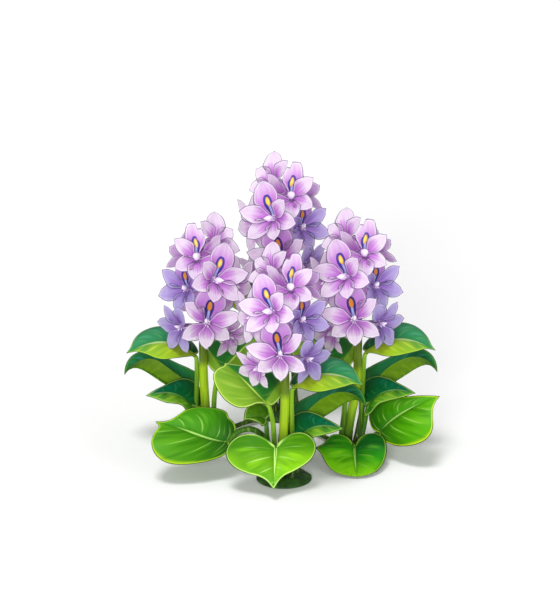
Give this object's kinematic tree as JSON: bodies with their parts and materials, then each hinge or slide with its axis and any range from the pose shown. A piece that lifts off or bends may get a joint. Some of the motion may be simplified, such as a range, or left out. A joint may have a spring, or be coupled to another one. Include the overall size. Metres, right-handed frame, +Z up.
{
  "type": "water hyacinth plant",
  "caption": "Clump of flowering water hyacinth: rosettes of round and heart-shaped glossy leaves on dark flat crowns joined by runners, with tall spikes of lilac flowers.",
  "frame": {"origin": "on the ground, under the middle of the clump's bounding box", "axes": "+Z up; the front of the clump, with the heart-shaped leaf, faces -Y; +X is to the right as seen from the front"},
  "size_m": [0.3484, 0.3547, 0.3078],
  "materials": {
    "leaf": "satin",
    "stalk": "satin",
    "crown": "matte",
    "petal": "matte"
  },
  "bodies": {
    "root": {"back_crown": "crown", "back_flower_centre": "petal", "back_flower_crest": "petal", "back_flower_lowest": "petal", "back_flower_outer": "petal", "back_flower_rear": "petal", "back_flower_side": "petal", "back_flower_top": "petal", "back_flower_upper": "petal", "back_leaf_inner": "leaf", "back_leaf_rear": "leaf", "back_leaf_upper": "leaf", "back_stalk": "stalk", "front_crown": "crown", "front_flower_centre": "petal", "front_flower_crest": "petal", "front_flower_lowest": "petal", "front_flower_outer": "petal", "front_flower_rear": "petal", "front_flower_side": "petal", "front_flower_top": "petal", "front_flower_upper": "petal", "front_leaf_arching": "leaf", "front_leaf_heart": "leaf", "front_leaf_inner": "leaf", "front_leaf_lower": "leaf", "front_leaf_middle": "leaf", "front_leaf_shaded": "leaf", "front_leaf_upper": "leaf", "front_stalk": "stalk", "left_crown": "crown", "left_flower_centre": "petal", "left_flower_crest": "petal", "left_flower_lowest": "petal", "left_flower_outer": "petal", "left_flower_rear": "petal", "left_flower_side": "petal", "left_flower_top": "petal", "left_flower_upper": "petal", "left_leaf_inner": "leaf", "left_leaf_lower": "leaf", "left_leaf_middle": "leaf", "left_leaf_upper": "leaf", "left_stalk": "stalk", "right_crown": "crown", "right_flower_centre": "petal", "right_flower_crest": "petal", "right_flower_lowest": "petal", "right_flower_outer": "petal", "right_flower_rear": "petal", "right_flower_side": "petal", "right_flower_top": "petal", "right_flower_upper": "petal", "right_leaf_heart": "leaf", "right_leaf_inner": "leaf", "right_leaf_lower": "leaf", "right_leaf_middle": "leaf", "right_leaf_outer": "leaf", "right_leaf_upper": "leaf", "right_stalk": "stalk"}
  },
  "joints": []
}
